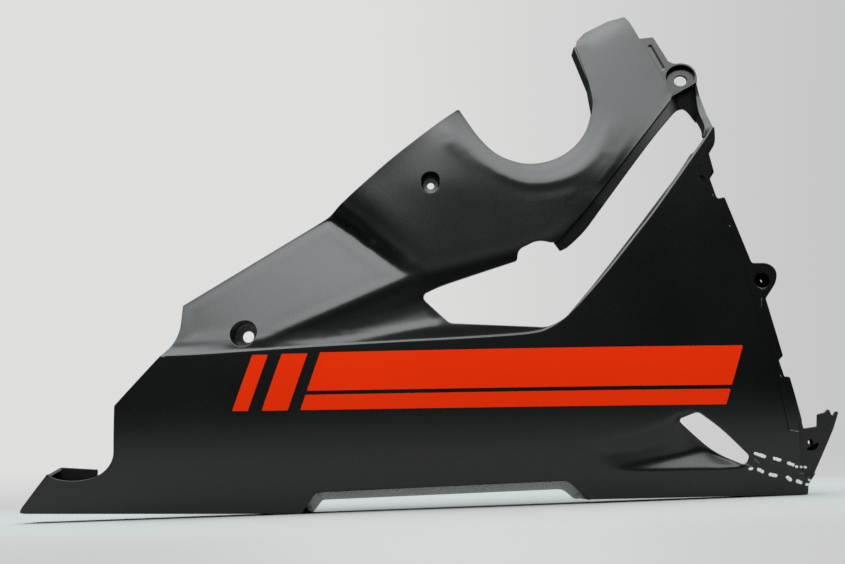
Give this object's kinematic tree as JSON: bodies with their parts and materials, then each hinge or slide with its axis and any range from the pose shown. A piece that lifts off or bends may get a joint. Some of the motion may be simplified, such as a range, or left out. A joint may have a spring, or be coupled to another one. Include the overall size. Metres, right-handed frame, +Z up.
{
  "type": "motorcycle lower fairing panel",
  "caption": "Moulded lower side fairing for a motorcycle: creased skin with an air window, a slotted scoop, screw cups, a top arm with lug and a folded-in bottom edge.",
  "frame": {"origin": "centre of the upper screw hole, on the seat its screw head presses on", "axes": "+X towards the front of the motorcycle, +Y inwards from the painted face, +Z up"},
  "size_m": [0.7231, 0.0778, 0.4716],
  "materials": {
    "panel_paint": "satin black paint on moulded plastic",
    "stripe_film": "red-orange printed film",
    "bush_rubber": "moulded rubber"
  },
  "bodies": {
    "root": {"fairing_panel": "panel_paint", "stripe_film": "stripe_film", "front_bush": "bush_rubber"}
  },
  "joints": []
}
